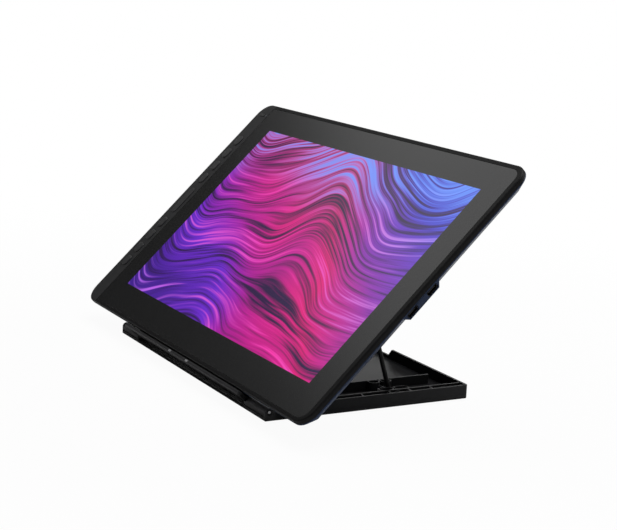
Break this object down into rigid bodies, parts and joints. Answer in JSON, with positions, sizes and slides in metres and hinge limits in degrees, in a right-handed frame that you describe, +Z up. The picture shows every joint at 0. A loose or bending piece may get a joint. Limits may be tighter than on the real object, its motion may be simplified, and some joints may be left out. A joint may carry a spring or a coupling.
{
  "type": "pen display on a folding stand",
  "caption": "Pen display with a lit screen and a column of press keys, lying at a slope on the ledge of a low folding stand with a rod prop.",
  "frame": {"origin": "middle of the object's footprint, on the desk", "axes": "+X to the right along the stand's hinge, +Y away from the user, +Z up"},
  "size_m": [0.368, 0.1654, 0.1703],
  "materials": {
    "stand_plastic": "fine moulded texture",
    "rubber": "matte",
    "steel": "turned",
    "rod_black": "satin black coating",
    "mark_pale": "satin",
    "shell_plastic": "satin bluish black",
    "frame_plastic": "matte",
    "glass_cover": "etched, with a dark printed border",
    "panel": "lit picture",
    "light_guide": "clear",
    "circuit_board": "green solder mask",
    "sheet_metal": "plain",
    "flex_film": "amber film",
    "key_plastic": "matte",
    "light_pipe": "clear"
  },
  "bodies": {
    "base": {"base_tray": "stand_plastic", "base_feet": "rubber", "hinge_pin_left": "steel", "hinge_pin_right": "steel", "prop_axles": "steel"},
    "plate": {"support_plate": "stand_plastic", "plate_pads": "rubber", "ledge_liner": "rubber", "ledge_marks": "mark_pale"},
    "prop": {"prop_frame": "rod_black", "prop_sleeve": "rubber"},
    "tablet": {"rear_shell": "shell_plastic", "front_frame": "frame_plastic", "cover_glass": "glass_cover", "lcd_panel": "panel", "backlight_plate": "light_guide", "digitizer_board": "circuit_board", "shield_plate": "sheet_metal", "main_board": "circuit_board", "display_flex": "flex_film", "usb_ports": "steel", "key_board": "circuit_board", "dome_switches": "sheet_metal", "touch_strip": "key_plastic", "status_light": "light_pipe", "rear_pads": "rubber", "shell_screws": "steel"},
    "key_1": {"key_1": "key_plastic"},
    "key_2": {"key_2": "key_plastic"},
    "key_3": {"key_3": "key_plastic"},
    "key_4": {"key_4": "key_plastic"},
    "key_5": {"key_5": "key_plastic"},
    "key_6": {"key_6": "key_plastic"},
    "key_7": {"key_7": "key_plastic"},
    "key_8": {"key_8": "key_plastic"},
    "power_button": {"power_button": "key_plastic"}
  },
  "joints": [
    {"name": "plate_hinge", "type": "hinge", "parent": "base", "child": "plate", "pos_m": [0, -0.07143, 0.0064], "axis": [1, 0, 0], "range_deg": [0, 44]},
    {"name": "prop_pivot", "type": "hinge", "parent": "base", "child": "prop", "pos_m": [0, 0.02947, 0.0056], "axis": [1, 0, 0], "range_deg": [0, 70.4]},
    {"name": "tablet_lift", "type": "slide", "parent": "plate", "child": "tablet", "axis": [0, -0.7009, 0.7133], "range_m": [0, 0.08]},
    {"name": "key_1_press", "type": "slide", "parent": "tablet", "child": "key_1", "axis": [0, 0.7009, -0.7133], "range_m": [0, 0.0005], "stiffness_N_per_m": 500},
    {"name": "key_2_press", "type": "slide", "parent": "tablet", "child": "key_2", "axis": [0, 0.7009, -0.7133], "range_m": [0, 0.0005], "stiffness_N_per_m": 500},
    {"name": "key_3_press", "type": "slide", "parent": "tablet", "child": "key_3", "axis": [0, 0.7009, -0.7133], "range_m": [0, 0.0005], "stiffness_N_per_m": 500},
    {"name": "key_4_press", "type": "slide", "parent": "tablet", "child": "key_4", "axis": [0, 0.7009, -0.7133], "range_m": [0, 0.0005], "stiffness_N_per_m": 500},
    {"name": "key_5_press", "type": "slide", "parent": "tablet", "child": "key_5", "axis": [0, 0.7009, -0.7133], "range_m": [0, 0.0005], "stiffness_N_per_m": 500},
    {"name": "key_6_press", "type": "slide", "parent": "tablet", "child": "key_6", "axis": [0, 0.7009, -0.7133], "range_m": [0, 0.0005], "stiffness_N_per_m": 500},
    {"name": "key_7_press", "type": "slide", "parent": "tablet", "child": "key_7", "axis": [0, 0.7009, -0.7133], "range_m": [0, 0.0005], "stiffness_N_per_m": 500},
    {"name": "key_8_press", "type": "slide", "parent": "tablet", "child": "key_8", "axis": [0, 0.7009, -0.7133], "range_m": [0, 0.0005], "stiffness_N_per_m": 500},
    {"name": "power_press", "type": "slide", "parent": "tablet", "child": "power_button", "axis": [0, 0.7009, -0.7133], "range_m": [0, 0.0005], "stiffness_N_per_m": 500}
  ],
  "couplings": [
    {"joint": "prop_pivot", "follows": "plate_hinge", "ratio": 1.6}
  ]
}
